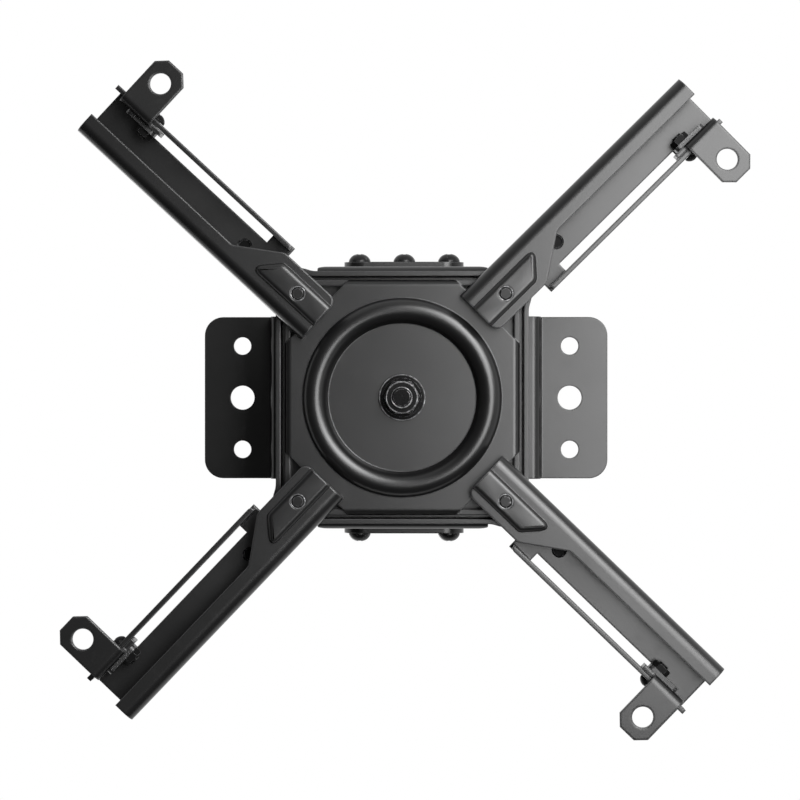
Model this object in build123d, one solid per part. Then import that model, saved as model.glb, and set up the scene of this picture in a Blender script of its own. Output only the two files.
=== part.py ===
"""Ceiling mount for a projector, hung from its ceiling bracket.

Frame: the origin is the centre of the bracket's top face, where it meets the ceiling. +Z points up, into the
ceiling, +X runs from ear to ear of the bracket, and +Y runs along the tilt pivot. All lengths are in
millimetres and all angles in degrees.

From the ceiling down: a folded bracket with two ears, a yoke that tilts between the bracket's cheeks, a
swivel bolt, a hub made of two pressed trays, four folded arms that swing on the hub's corners, and on each
arm an end bracket that slides along the arm's rail and takes a screw of the projector.
"""
from build123d import *
import math
import os

# Ceiling bracket
BRACKET_SHEET = 2.5
EAR_SPAN = 172.8
EAR_WIDTH = 69.2
EAR_CORNER = 8.0
EAR_HOLE_SPACING_X = 140.4
EAR_HOLE_SPACING_Y = 44.4
EAR_HOLE_D = 7.5
EAR_MIDDLE_HOLE_D = 10.3
HAT_SPAN = 115.2
HAT_DROP = 12.0
CHEEK_WIDTH = 49.4
CHEEK_BOTTOM = -62.0
CHEEK_CORNER = 8.0
BRACKET_BEND = 3.5

# Tilt yoke
YOKE_SHEET = 2.5
YOKE_SPREAD = 106.4
YOKE_TOP = -34.0
YOKE_WEB_TOP = -84.5
YOKE_WEB_WIDTH = 69.2
YOKE_NECK_WIDTH = 54.4
YOKE_SHOULDER_LOW = 1.5
YOKE_SHOULDER_HIGH = 5.0
YOKE_SHOULDER_BLEND = 1.2
YOKE_CORNER = 10.0
YOKE_BEND = 3.5
CHEEK_GAP = 0.3

# Tilt screws
TILT_Z = -46.0
LOCK_RADIUS = 18.6
LOCK_SLOT_SWEEP = 36.0
LOCK_SLOT_SIDE_GAP = 0.3
TILT_SCREW_D = 5.0
DOME_HEAD_D = 9.0
DOME_HEAD_H = 3.7
COUNTERSUNK_D = 9.2
COUNTERSUNK_DEPTH = 2.1

# Hub
HUB_SHEET = 2.0
PAN_TO_TRAY_GAP = 1.6
PAN_CORNER = 9.0
PAN_LUG_RADIUS = 10.6
PAN_LUG_BLEND = 10.0
PAN_RIM = 9.0
PAN_BEND = 2.6
TRAY_WIDTH = 94.4
TRAY_DEPTH = 8.0
TRAY_WALL_TO_PIVOT = 6.0
TRAY_BEND = 2.6
CORNER_CUT_TO_PIVOT = 10.0
BEAD_OUTER_R = 40.0
BEAD_INNER_R = 30.4
BEAD_CROWN = 3.6
BEAD_CROWN_SHEET = 1.9
DISC_RECESS = 1.6

# Swivel bolt
SWIVEL_D = 8.0
SWIVEL_HEAD_AF = 13.0
SWIVEL_HEAD_H = 5.3
FRICTION_DISC_D = 60.0
FRICTION_DISC_T = 3.9
SWIVEL_WASHER_D = 18.6
SWIVEL_WASHER_T = 1.8
SWIVEL_NUT_H = 5.4
SWIVEL_NUT_COLLAR_D = 12.8
SWIVEL_NUT_COLLAR_H = 2.4
SWIVEL_TIP = 2.2
HUB_SPACER_D = 22.0

# Arms
ARM_SHEET = 2.0
PIVOT_INSET = 9.4
ARM_DIRECTIONS = {"front_right": 43.9, "front_left": 133.7, "rear_left": 222.9, "rear_right": 315.3}
ARM_WALL_V = 12.3
ARM_RAIL_V = 12.3
ARM_LENGTH = 109.4
ARM_FLOOR_SHORTER = 1.1
ARM_RAIL_LONGER = 0.3
ARM_ROOT = 13.2
ARM_DEPTH = 15.7
LIP_WIDTH = 8.8
ROOT_LIP_V = 8.5
FLARE_START = 32.4
FLARE_END = 14.8
DEEP_START = 14.0
LIP_BEND = 4.6
FLOOR_BEND = 2.6
LIP_CORNER = 3.6
HUB_TO_LIP = 6.0
PAD_HALF_WIDTH = 5.0
PAD_LENGTH = 21.6
PAD_LENGTH_SHORT = 12.3
PAD_CORNER = 2.4
PAD_RISE = 2.0
PAD_SLOPE = 45.0
PIVOT_HOLE_FLARE = 0.6
PIVOT_BOLT_D = 5.0
PIVOT_HEAD_AF = 8.0
PIVOT_HEAD_H = 3.4
BUSH_D = 12.4
RUNNING_GAP = 0.05
FACE_GAP = 0.1
LIFT_GAP = 0.3

# Rail and end brackets
RAIL_HEIGHT = 13.2
NOTCH_WIDTH = 3.8
NOTCH_START = 24.1
NOTCH_END_LAND = 20.0
RAIL_SLOT_START = 26.5
RAIL_SLOT_END_LAND = 7.2
RAIL_END_ROUNDING = 1.7
FLOOR_HOLE_U = 29.6
FLOOR_HOLE_V = -0.7
FLOOR_HOLE_D = 4.8
RAIL_SLOT_GAP = 0.2
CLAMP_Z_BELOW_FLOOR = 5.9
CLAMP_SHIFT = -7.2
TAB_FROM_ARM_END = {"front_right": 10.8, "front_left": 10.5, "rear_left": 12.4, "rear_right": 9.4}
TAB_SHEET = 2.0
TAB_WIDTH = 15.6
TAB_REACH_V = 33.1
TAB_CHAMFER = 4.0
TAB_HOLE_V = 24.0
TAB_HOLE_D = 8.4
TAB_BELOW_PAD = 1.4
TAB_BEND = 3.2
TAB_WALL_INNER = 13.2
TAB_WALL_OUTER = 6.6
TAB_WALL_ABOVE_CLAMP = 5.2
CLAMP_SCREW_D = 4.0
CLAMP_HEAD_D = 7.6
CLAMP_HEAD_H = 2.6
CLAMP_PLATE_INNER = 4.2
CLAMP_PLATE_OUTER = 10.6
CLAMP_PLATE_HEIGHT = 10.0
CLAMP_PLATE_CORNER = 2.0
CLAMP_WASHER_T = 1.8
CLAMP_NUT_AF = 7.0
CLAMP_NUT_H = 2.6
CLAMP_TIP = 0.8
M5_NUT_AF = 8.0
M5_NUT_H = 4.0
TILT_TIP = 1.2

# Sizes and heights worked out from the values above
PAN_WIDTH = TRAY_WIDTH + 2 * (PAN_TO_TRAY_GAP + HUB_SHEET)
PIVOT_OFFSET = PAN_WIDTH / 2 - PIVOT_INSET
TRAY_WALL_REACH = PIVOT_OFFSET - TRAY_WALL_TO_PIVOT
CORNER_CUT_RADIUS = PIVOT_OFFSET * math.sqrt(2) - CORNER_CUT_TO_PIVOT
ARM_FLOOR_LENGTH = ARM_LENGTH - ARM_FLOOR_SHORTER
ARM_RAIL_LENGTH = ARM_LENGTH + ARM_RAIL_LONGER
NOTCH_END = ARM_FLOOR_LENGTH - NOTCH_END_LAND
RAIL_SLOT_END = ARM_RAIL_LENGTH - RAIL_SLOT_END_LAND
TAB_CENTRES = {corner: ARM_LENGTH - from_end for corner, from_end in TAB_FROM_ARM_END.items()}
YOKE_WEB_BOTTOM = YOKE_WEB_TOP - YOKE_SHEET
PAN_TOP = YOKE_WEB_BOTTOM - FRICTION_DISC_T - FACE_GAP
PAN_BOTTOM = PAN_TOP - HUB_SHEET
FACE_BOTTOM = PAN_BOTTOM - TRAY_DEPTH
FACE_TOP = FACE_BOTTOM + HUB_SHEET
DISC_BOTTOM = FACE_BOTTOM + DISC_RECESS
DISC_TOP = DISC_BOTTOM + HUB_SHEET
LIP_TOP = FACE_BOTTOM - HUB_TO_LIP
LIP_BOTTOM = LIP_TOP - ARM_SHEET
FLOOR_TOP = LIP_BOTTOM + ARM_DEPTH
FLOOR_BOTTOM = FLOOR_TOP - ARM_SHEET
PAD_BOTTOM = LIP_BOTTOM - PAD_RISE
CLAMP_Z = FLOOR_BOTTOM - CLAMP_Z_BELOW_FLOOR
TAB_BOTTOM = PAD_BOTTOM - TAB_BELOW_PAD
TAB_TOP = TAB_BOTTOM + TAB_SHEET
YOKE_OUTER_Y = YOKE_SPREAD / 2
YOKE_INNER_Y = YOKE_OUTER_Y - YOKE_SHEET
CHEEK_INNER_Y = YOKE_OUTER_Y + CHEEK_GAP
CHEEK_OUTER_Y = CHEEK_INNER_Y + BRACKET_SHEET
HAT_TOP = -HAT_DROP
HAT_BOTTOM = HAT_TOP - BRACKET_SHEET


def slab(sketch, low, high):
    """A flat sketch on the XY plane, made solid from one height to another."""
    return extrude(Pos(0, 0, low) * sketch, high - low)


def rounded_rectangle(width, depth, radius):
    return RectangleRounded(width, depth, radius)


def tube(outer_d, inner_d, low, high):
    return slab(Circle(outer_d / 2) - Circle(inner_d / 2), low, high)


def hexagon(across_flats, low, high):
    """A hexagonal prism with its outer corners turned off at both ends, as a nut or bolt head has them."""
    corner_r = across_flats / math.sqrt(3)
    prism = slab(RegularPolygon(corner_r, 6), low, high)
    blank = slab(Circle(corner_r), low, high)
    rim = chamfer(blank.edges(), 0.35 * (corner_r - across_flats / 2) + 0.2)
    return prism & rim


def hex_nut(across_flats, bore, low, high):
    return hexagon(across_flats, low, high) - slab(Circle(bore / 2), low - 1, high + 1)


def dome_head(diameter, height):
    """A domed screw head that stands on the XY plane, with a cross recess in its crown."""
    radius = diameter / 2
    rim = 0.25 * height
    profile = make_face(
        Line((0, 0), (radius, 0))
        + Line((radius, 0), (radius, rim))
        + ThreePointArc((radius, rim), (0.66 * radius, 0.8 * height), (0, height))
        + Line((0, height), (0, 0))
    )
    head = revolve(Plane.XZ * profile, Axis.Z)
    recess = Box(0.42 * diameter, 0.13 * diameter, height) + Box(0.13 * diameter, 0.42 * diameter, height)
    return head - Pos(0, 0, 1.05 * height) * recess


def pan_screw(shank_d, length, head_d, head_h):
    """A domed screw along Z: the shank runs down from the head's seat at the origin."""
    return dome_head(head_d, head_h) + slab(Circle(shank_d / 2), -length, 0)


def countersunk_screw(shank_d, length, head_d, depth):
    cone = extrude(Circle(head_d / 2), -depth, taper=math.degrees(math.atan((head_d - shank_d) / 2 / depth)))
    return cone + slab(Circle(shank_d / 2), -length, 0)


def facing_y(shape, x, y, z, side):
    """Turns a shape that is drawn along +Z to point along side * Y, and sets it down at a point."""
    return Pos(x, y, z) * Rot(-90 * side, 0, 0) * shape


# Ceiling bracket

def lock_slot(gap):
    """The two arc slots round the tilt pivot, as a solid across both cheeks."""
    width = TILT_SCREW_D + 2 * gap
    slots = []
    for start in (-LOCK_SLOT_SWEEP / 2, 180 - LOCK_SLOT_SWEEP / 2):
        middle = CenterArc((0, 0), LOCK_RADIUS, start, LOCK_SLOT_SWEEP)
        slots.append(SlotArc(middle, width))
    flat = Plane.XZ * (Sketch() + slots)
    return Pos(0, 0, TILT_Z) * extrude(flat, 2 * CHEEK_OUTER_Y, both=True)


def hat_section():
    """The bent strip from ear to ear, seen along Y: ear, step down, panel, step up, ear."""
    panel = Pos(0, (HAT_TOP + HAT_BOTTOM) / 2) * Rectangle(HAT_SPAN, BRACKET_SHEET)
    step_x = (HAT_SPAN - BRACKET_SHEET) / 2
    ear_mid = (EAR_SPAN / 2 + step_x - BRACKET_SHEET / 2) / 2
    ear_long = EAR_SPAN / 2 - step_x + BRACKET_SHEET / 2
    strip = panel
    for side in (-1, 1):
        strip += Pos(side * step_x, HAT_BOTTOM / 2) * Rectangle(BRACKET_SHEET, -HAT_BOTTOM)
        strip += Pos(side * ear_mid, -BRACKET_SHEET / 2) * Rectangle(ear_long, BRACKET_SHEET)
    return strip


def round_edges(shape, picks, radius):
    edges = [e for e in shape.edges() if picks(e)]
    return fillet(edges, radius)


def ceiling_bracket():
    flat = Plane.XZ * hat_section()
    hat = extrude(flat, EAR_WIDTH / 2, both=True)

    def bend_edge(x, z):
        return lambda e: (
            abs(abs(e.center().X) - x) < 0.01 and abs(e.center().Z - z) < 0.01 and abs(e.length - EAR_WIDTH) < 0.01
        )

    inner_x = HAT_SPAN / 2 - BRACKET_SHEET
    hat = round_edges(hat, bend_edge(HAT_SPAN / 2, HAT_BOTTOM), BRACKET_BEND)
    hat = round_edges(hat, bend_edge(inner_x, HAT_TOP), BRACKET_BEND - BRACKET_SHEET)
    hat = round_edges(hat, bend_edge(inner_x, 0), BRACKET_BEND)
    hat = round_edges(hat, bend_edge(HAT_SPAN / 2, -BRACKET_SHEET), BRACKET_BEND - BRACKET_SHEET)
    hat &= slab(rounded_rectangle(EAR_SPAN, EAR_WIDTH, EAR_CORNER), HAT_BOTTOM, 0)

    # The two cheeks hang from tongues of the panel, and are folded down
    outer = Rectangle(2 * CHEEK_OUTER_Y, 2 * (HAT_TOP - CHEEK_BOTTOM))
    inner = Rectangle(2 * CHEEK_INNER_Y, 2 * (HAT_BOTTOM - CHEEK_BOTTOM))
    saddle = fillet(outer.vertices(), BRACKET_BEND) - fillet(inner.vertices(), BRACKET_BEND - BRACKET_SHEET)
    saddle = Pos(0, CHEEK_BOTTOM) * saddle
    saddle = extrude(Plane.YZ * saddle, CHEEK_WIDTH / 2, both=True)
    drop = HAT_TOP - CHEEK_BOTTOM
    outline = Pos(0, drop / 2) * Rectangle(CHEEK_WIDTH, drop)
    low_corners = outline.vertices().sort_by(Axis.Y)[:2]
    outline = Pos(0, CHEEK_BOTTOM) * fillet(low_corners, CHEEK_CORNER)
    saddle &= extrude(Plane.XZ * outline, CHEEK_OUTER_Y, both=True)
    body = hat + saddle

    body -= lock_slot(LOCK_SLOT_SIDE_GAP)
    pivot = Pos(0, 0, TILT_Z) * Rot(90, 0, 0) * Cylinder(TILT_SCREW_D / 2, 3 * CHEEK_OUTER_Y)
    body -= pivot
    sink = countersunk_screw(TILT_SCREW_D, BRACKET_SHEET, COUNTERSUNK_D, COUNTERSUNK_DEPTH)
    body -= facing_y(sink, 0, CHEEK_OUTER_Y, TILT_Z, 1)
    for x in (-EAR_HOLE_SPACING_X / 2, EAR_HOLE_SPACING_X / 2):
        body -= Pos(x, 0, 0) * Cylinder(EAR_MIDDLE_HOLE_D / 2, 4 * BRACKET_SHEET)
        for y in (-EAR_HOLE_SPACING_Y / 2, EAR_HOLE_SPACING_Y / 2):
            body -= Pos(x, y, 0) * Cylinder(EAR_HOLE_D / 2, 4 * BRACKET_SHEET)
    return body


# Tilt yoke and its screws

def tilt_yoke():
    height = YOKE_TOP - YOKE_WEB_BOTTOM
    outer = Pos(0, height) * Rectangle(2 * YOKE_OUTER_Y, 2 * height)
    inner = Pos(0, height + YOKE_SHEET) * Rectangle(2 * YOKE_INNER_Y, 2 * height)
    low_outer = outer.vertices().sort_by(Axis.Y)[:2]
    low_inner = inner.vertices().sort_by(Axis.Y)[:2]
    section = fillet(low_outer, YOKE_BEND) - fillet(low_inner, YOKE_BEND - YOKE_SHEET)
    section = Pos(0, YOKE_WEB_BOTTOM) * section
    channel = extrude(Plane.YZ * section, YOKE_WEB_WIDTH / 2, both=True)
    half_web = YOKE_WEB_WIDTH / 2
    half_neck = YOKE_NECK_WIDTH / 2
    low = YOKE_WEB_BOTTOM + YOKE_SHOULDER_LOW
    high = YOKE_WEB_BOTTOM + YOKE_SHOULDER_HIGH
    outline = Polygon(
        (-half_web, YOKE_WEB_BOTTOM), (half_web, YOKE_WEB_BOTTOM), (half_web, low), (half_neck, high),
        (half_neck, YOKE_TOP), (-half_neck, YOKE_TOP), (-half_neck, high), (-half_web, low), align=None
    )
    top_corners = outline.vertices().sort_by(Axis.Y)[-2:]
    outline = fillet(top_corners, YOKE_CORNER)
    shoulders = [v for v in outline.vertices() if min(abs(v.Y - low), abs(v.Y - high)) < 0.01]
    outline = fillet(shoulders, YOKE_SHOULDER_BLEND)
    body = channel & extrude(Plane.XZ * outline, YOKE_OUTER_Y, both=True)
    pivot_d = TILT_SCREW_D + 2 * RUNNING_GAP
    body -= Pos(0, 0, TILT_Z) * Rot(90, 0, 0) * Cylinder(pivot_d / 2, 3 * YOKE_OUTER_Y)
    for x in (-LOCK_RADIUS, LOCK_RADIUS):
        body -= Pos(x, 0, TILT_Z) * Rot(90, 0, 0) * Cylinder(TILT_SCREW_D / 2, 3 * YOKE_OUTER_Y)
    body -= slab(Circle(SWIVEL_D / 2), YOKE_WEB_BOTTOM - 1, YOKE_WEB_TOP + 1)
    return body


def tilt_screw(x, side):
    """A domed screw through one cheek and the yoke's wall, with its head just clear of the cheek."""
    seat = CHEEK_OUTER_Y + FACE_GAP
    length = seat - YOKE_INNER_Y + M5_NUT_H + TILT_TIP + FACE_GAP
    screw = pan_screw(TILT_SCREW_D, length, DOME_HEAD_D, DOME_HEAD_H)
    return facing_y(screw, x, side * seat, TILT_Z, side)


def tilt_nut(x, side, gap):
    nut = hex_nut(M5_NUT_AF, TILT_SCREW_D, -M5_NUT_H, 0)
    return facing_y(nut, x, side * (YOKE_INNER_Y - gap), TILT_Z, side)


def pivot_screw_flush():
    length = CHEEK_OUTER_Y - YOKE_INNER_Y + M5_NUT_H + TILT_TIP + FACE_GAP
    screw = countersunk_screw(TILT_SCREW_D, length, COUNTERSUNK_D, COUNTERSUNK_DEPTH)
    return facing_y(screw, 0, CHEEK_OUTER_Y, TILT_Z, 1)


# Swivel bolt and what is on it

def swivel_bolt():
    tip = SWIVEL_WASHER_T + SWIVEL_NUT_H + SWIVEL_NUT_COLLAR_H + SWIVEL_TIP
    end = DISC_BOTTOM - FACE_GAP - tip
    shank = chamfer(slab(Circle(SWIVEL_D / 2), end, YOKE_WEB_TOP).edges().sort_by(Axis.Z)[0], 0.7)
    return hexagon(SWIVEL_HEAD_AF, YOKE_WEB_TOP, YOKE_WEB_TOP + SWIVEL_HEAD_H) + shank


def friction_disc():
    return tube(FRICTION_DISC_D, SWIVEL_D, YOKE_WEB_BOTTOM - FRICTION_DISC_T, YOKE_WEB_BOTTOM)


def swivel_washer():
    top = DISC_BOTTOM - FACE_GAP
    blank = slab(Circle(SWIVEL_WASHER_D / 2), top - SWIVEL_WASHER_T, top)
    blank = fillet(blank.edges().sort_by(Axis.Z)[0], SWIVEL_WASHER_T / 2)
    return blank - slab(Circle(SWIVEL_D / 2), top - 2 * SWIVEL_WASHER_T, top + 1)


def swivel_nut():
    """A lock nut: a hexagon with a round collar that holds its nylon ring."""
    top = DISC_BOTTOM - FACE_GAP - SWIVEL_WASHER_T
    low = top - SWIVEL_NUT_H
    collar = slab(Circle(SWIVEL_NUT_COLLAR_D / 2), low - SWIVEL_NUT_COLLAR_H, low)
    collar = fillet(collar.edges().filter_by(GeomType.CIRCLE).sort_by(Axis.Z)[0], 1.0)
    body = hexagon(SWIVEL_HEAD_AF, low, top) + collar
    return body - slab(Circle(SWIVEL_D / 2), low - SWIVEL_NUT_COLLAR_H - 1, top + 1)


def hub_spacer():
    return tube(HUB_SPACER_D, SWIVEL_D + 2 * RUNNING_GAP, DISC_TOP, PAN_BOTTOM)


# Hub

def open_tray(outline, bend, floor_z, rim_z):
    """A pressed tray: a flat floor of the given outline and a rim that stands from it up or down to rim_z."""
    height = abs(rim_z - floor_z)
    outer = slab(outline, 0, height)
    outer = fillet(outer.edges().group_by(Axis.Z)[0], bend)
    hollow = slab(offset(outline, -HUB_SHEET), HUB_SHEET, height + 1)
    tray = outer - fillet(hollow.edges().group_by(Axis.Z)[0], bend - HUB_SHEET)
    if rim_z < floor_z:
        tray = Rot(180, 0, 0) * tray
    return Pos(0, 0, floor_z) * tray


def pivot_places():
    return [(sx * PIVOT_OFFSET, sy * PIVOT_OFFSET) for sx in (-1, 1) for sy in (-1, 1)]


def pan_outline():
    """A square that swells into a lug round each arm's pivot, with a hollow curve on both sides of the lug."""
    outline = rounded_rectangle(PAN_WIDTH, PAN_WIDTH, PAN_CORNER)
    for x, y in pivot_places():
        outline += Pos(x, y) * Circle(PAN_LUG_RADIUS)
    half = PAN_WIDTH / 2
    creases = [v for v in outline.vertices() if abs(max(abs(v.X), abs(v.Y)) - half) < 0.01]
    return fillet(creases, PAN_LUG_BLEND)


def hub_pan():
    """The upper tray. Its rim points down and stands round the lower one, with a narrow groove between them."""
    pan = open_tray(pan_outline(), PAN_BEND, PAN_TOP, PAN_TOP - PAN_RIM)
    pan -= slab(Circle(SWIVEL_D / 2 + RUNNING_GAP), PAN_BOTTOM - 1, PAN_TOP + 1)
    for x, y in pivot_places():
        pan -= Pos(x, y, 0) * slab(Circle(PIVOT_BOLT_D / 2 + RUNNING_GAP), PAN_BOTTOM - 1, PAN_TOP + 1)
    return pan


def bead_and_disc():
    """The round pressing in the hub's face: a bead that stands out of it round a slightly sunk disc."""
    r_mid = (BEAD_OUTER_R + BEAD_INNER_R) / 2
    crown = FACE_BOTTOM - BEAD_CROWN
    join_r = BEAD_OUTER_R + 1.0
    inner_r = BEAD_OUTER_R - 1.6
    disc_r = BEAD_INNER_R - 0.6
    well_r = BEAD_INNER_R + 1.2
    bore_r = SWIVEL_D / 2 + RUNNING_GAP
    outline = Wire([
        Edge.make_line((bore_r, 0, DISC_BOTTOM), (disc_r, 0, DISC_BOTTOM)),
        Edge.make_line((disc_r, 0, DISC_BOTTOM), (BEAD_INNER_R, 0, FACE_BOTTOM)),
        Edge.make_three_point_arc((BEAD_INNER_R, 0, FACE_BOTTOM), (r_mid, 0, crown), (BEAD_OUTER_R, 0, FACE_BOTTOM)),
        Edge.make_line((BEAD_OUTER_R, 0, FACE_BOTTOM), (join_r, 0, FACE_BOTTOM)),
        Edge.make_line((join_r, 0, FACE_BOTTOM), (join_r, 0, FACE_TOP)),
        Edge.make_line((join_r, 0, FACE_TOP), (inner_r, 0, FACE_TOP)),
        Edge.make_three_point_arc(
            (inner_r, 0, FACE_TOP), (r_mid, 0, crown + BEAD_CROWN_SHEET), (well_r + 0.8, 0, FACE_TOP)
        ),
        Edge.make_line((well_r + 0.8, 0, FACE_TOP), (well_r, 0, DISC_TOP)),
        Edge.make_line((well_r, 0, DISC_TOP), (bore_r, 0, DISC_TOP)),
        Edge.make_line((bore_r, 0, DISC_TOP), (bore_r, 0, DISC_BOTTOM)),
    ])
    return revolve(Face(outline), Axis.Z)


def hub_tray():
    """The lower tray, with its face down. Each corner is cut off square to the arm, and the cut has a short lip."""
    outline = rounded_rectangle(TRAY_WIDTH, TRAY_WIDTH, TRAY_BEND + 1.0)
    tray = open_tray(outline, TRAY_BEND, FACE_BOTTOM, PAN_BOTTOM)
    tray -= slab(Circle(BEAD_OUTER_R + 1.0), FACE_BOTTOM - 1, FACE_TOP + 1)
    reach = TRAY_WIDTH
    for turn in (45, 135, 225, 315):
        beyond_cut = Pos(CORNER_CUT_RADIUS + reach / 2, 0) * Rectangle(reach, reach)
        tray -= Rot(0, 0, turn) * slab(beyond_cut, FACE_BOTTOM - 1, FACE_TOP + 0.01)
    corner_square = TRAY_WIDTH - 2 * TRAY_WALL_REACH
    for sx in (-1, 1):
        for sy in (-1, 1):
            corner = Pos(sx * TRAY_WIDTH / 2, sy * TRAY_WIDTH / 2) * Rectangle(corner_square, corner_square)
            tray -= slab(corner, FACE_BOTTOM - 1, PAN_BOTTOM + 1)
    cut_half = TRAY_WIDTH / math.sqrt(2) - CORNER_CUT_RADIUS - HUB_SHEET
    for turn in (45, 135, 225, 315):
        lip = Pos(CORNER_CUT_RADIUS - HUB_SHEET / 2, 0) * Rectangle(HUB_SHEET, 2 * cut_half)
        tray += Rot(0, 0, turn) * slab(lip, FACE_BOTTOM + HUB_SHEET / 2, PAN_BOTTOM - 1.0)
    return tray + bead_and_disc()


# Arms, drawn along +X from the pivot bolt, with the wall at -Y and the rail at +Y

def lip_plan():
    edge = LIP_WIDTH - ARM_WALL_V
    outline = Polygon(
        (-ARM_ROOT, -ARM_WALL_V), (ARM_LENGTH, -ARM_WALL_V), (ARM_LENGTH, edge), (FLARE_START, edge),
        (FLARE_END, ROOT_LIP_V), (-ARM_ROOT, ROOT_LIP_V), align=None
    )
    bends = [v for v in outline.vertices() if v.X < ARM_LENGTH - 1 and v.Y > edge - 0.01]
    return fillet(bends, LIP_CORNER)


def arm_section():
    """The arm's C: a lip below, the rounded outer wall, and the floor above, open towards the rail."""
    width = ARM_WALL_V + ARM_RAIL_V
    outer = Pos(width / 2, ARM_DEPTH / 2) * Rectangle(width, ARM_DEPTH)
    inner = Pos(ARM_SHEET + width / 2, ARM_DEPTH / 2) * Rectangle(width, ARM_DEPTH - 2 * ARM_SHEET)

    def left(shape):
        return shape.vertices().sort_by(Axis.X)[:2].sort_by(Axis.Y)

    outer = fillet(left(outer)[0], LIP_BEND)
    outer = fillet([v for v in outer.vertices() if v.X < 0.01 and v.Y > ARM_DEPTH - 0.01], FLOOR_BEND)
    inner = fillet(left(inner)[0], LIP_BEND - ARM_SHEET)
    top_left = [v for v in inner.vertices() if v.X < ARM_SHEET + 0.01 and v.Y > ARM_DEPTH - ARM_SHEET - 0.01]
    inner = fillet(top_left, FLOOR_BEND - ARM_SHEET)
    return Pos(-ARM_WALL_V, LIP_BOTTOM) * (outer - inner)


def pad(half_width, long_end, short_end, low, high, root):
    """The raised pad round the pivot bolt, with sloping sides and an end cut like the lip's flare."""
    base = Polygon(
        (root, -half_width), (long_end, -half_width), (short_end, half_width), (root, half_width), align=None
    )
    base = fillet(base.vertices().sort_by(Axis.X)[-2:], PAD_CORNER)
    return extrude(Pos(0, 0, high) * base, low - high, taper=PAD_SLOPE)


def arm_blank():
    """The folded arm about its own pivot axis. The rail stands down from the floor's free edge."""
    section = Plane.YZ * arm_section()
    channel = Pos(-ARM_ROOT, 0, 0) * extrude(section, ARM_ROOT + ARM_LENGTH)
    shallow_top = FACE_BOTTOM - LIFT_GAP
    front = slab(lip_plan(), LIP_BOTTOM, shallow_top)
    deep_mid = (DEEP_START + ARM_FLOOR_LENGTH) / 2
    deep = Pos(deep_mid, 0) * Rectangle(ARM_FLOOR_LENGTH - DEEP_START, ARM_WALL_V + ARM_RAIL_V)
    arm = channel & (front + slab(deep, shallow_top, FLOOR_TOP))

    rail_mid = (FLARE_END + ARM_RAIL_LENGTH) / 2
    rail_long = ARM_RAIL_LENGTH - FLARE_END
    rail_plan = Pos(rail_mid, ARM_RAIL_V - ARM_SHEET / 2) * Rectangle(rail_long, ARM_SHEET)
    rail = slab(rail_plan, FLOOR_TOP - RAIL_HEIGHT, FLOOR_TOP)
    arm += rail
    bend_line = [
        e for e in arm.edges()
        if abs(e.center().Y - ARM_RAIL_V) < 0.01 and abs(e.center().Z - FLOOR_TOP) < 0.01 and e.length > 5
    ]
    arm = fillet(bend_line, ARM_SHEET * 0.6)
    root_corner = [
        e for e in arm.edges().filter_by(Axis.Z)
        if abs(e.center().X - FLARE_END) < 0.01 and abs(e.center().Y - ARM_RAIL_V) < 0.01
    ]
    arm = fillet(root_corner, RAIL_END_ROUNDING)
    notch_mid = (NOTCH_START + NOTCH_END) / 2
    notch_v = ARM_RAIL_V - ARM_SHEET - NOTCH_WIDTH / 2
    notch = Pos(notch_mid, notch_v) * Rectangle(NOTCH_END - NOTCH_START, NOTCH_WIDTH)
    arm -= slab(notch, FLOOR_BOTTOM - 0.5, FLOOR_TOP + 1)
    slot_mid = (RAIL_SLOT_START + RAIL_SLOT_END) / 2
    slot_width = CLAMP_SCREW_D + 2 * RAIL_SLOT_GAP
    slot = SlotOverall(RAIL_SLOT_END - RAIL_SLOT_START, slot_width)
    slot = extrude(Plane.XZ * slot, ARM_SHEET * 2, both=True)
    arm -= Pos(slot_mid, ARM_RAIL_V, CLAMP_Z) * slot

    arm += pad(PAD_HALF_WIDTH, PAD_LENGTH, PAD_LENGTH_SHORT, PAD_BOTTOM, LIP_BOTTOM, -ARM_ROOT)
    inset = ARM_SHEET * math.tan(math.radians(PAD_SLOPE / 2))
    dish = pad(
        PAD_HALF_WIDTH - inset, PAD_LENGTH - 2 * inset, PAD_LENGTH_SHORT - inset, PAD_BOTTOM + ARM_SHEET, LIP_TOP,
        -ARM_ROOT - 2 * PAD_RISE
    )
    arm -= dish
    arm -= slab(Circle(PIVOT_BOLT_D / 2), PAD_BOTTOM - 1, LIP_TOP + 1)
    flare_r = PIVOT_BOLT_D / 2 + PIVOT_HOLE_FLARE
    arm -= Pos(0, 0, PAD_BOTTOM) * extrude(Circle(flare_r), PIVOT_HOLE_FLARE, taper=45)
    arm -= slab(Pos(FLOOR_HOLE_U, FLOOR_HOLE_V) * Circle(FLOOR_HOLE_D / 2), FLOOR_BOTTOM - 1, FLOOR_TOP + 1)
    return trim_root(arm)


def trim_root(arm):
    """Cuts off what the pad's slope leaves past the arm's square inner end."""
    past = Pos(-ARM_ROOT - ARM_LENGTH / 2, 0) * Rectangle(ARM_LENGTH, 4 * ARM_WALL_V)
    return arm - slab(past, PAD_BOTTOM - 1, FLOOR_TOP + 1)


def pivot_bush():
    return tube(BUSH_D, PIVOT_BOLT_D, LIP_TOP, PAN_BOTTOM - FACE_GAP)


def pivot_bolt():
    seat = PAN_TOP + FACE_GAP
    shank = slab(Circle(PIVOT_BOLT_D / 2), PAD_BOTTOM - 0.4, seat)
    shank = chamfer(shank.edges().sort_by(Axis.Z)[0], 0.5)
    return hexagon(PIVOT_HEAD_AF, seat, seat + PIVOT_HEAD_H) + shank


# End brackets, drawn like the arms, with the middle of the tab at the origin

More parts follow.
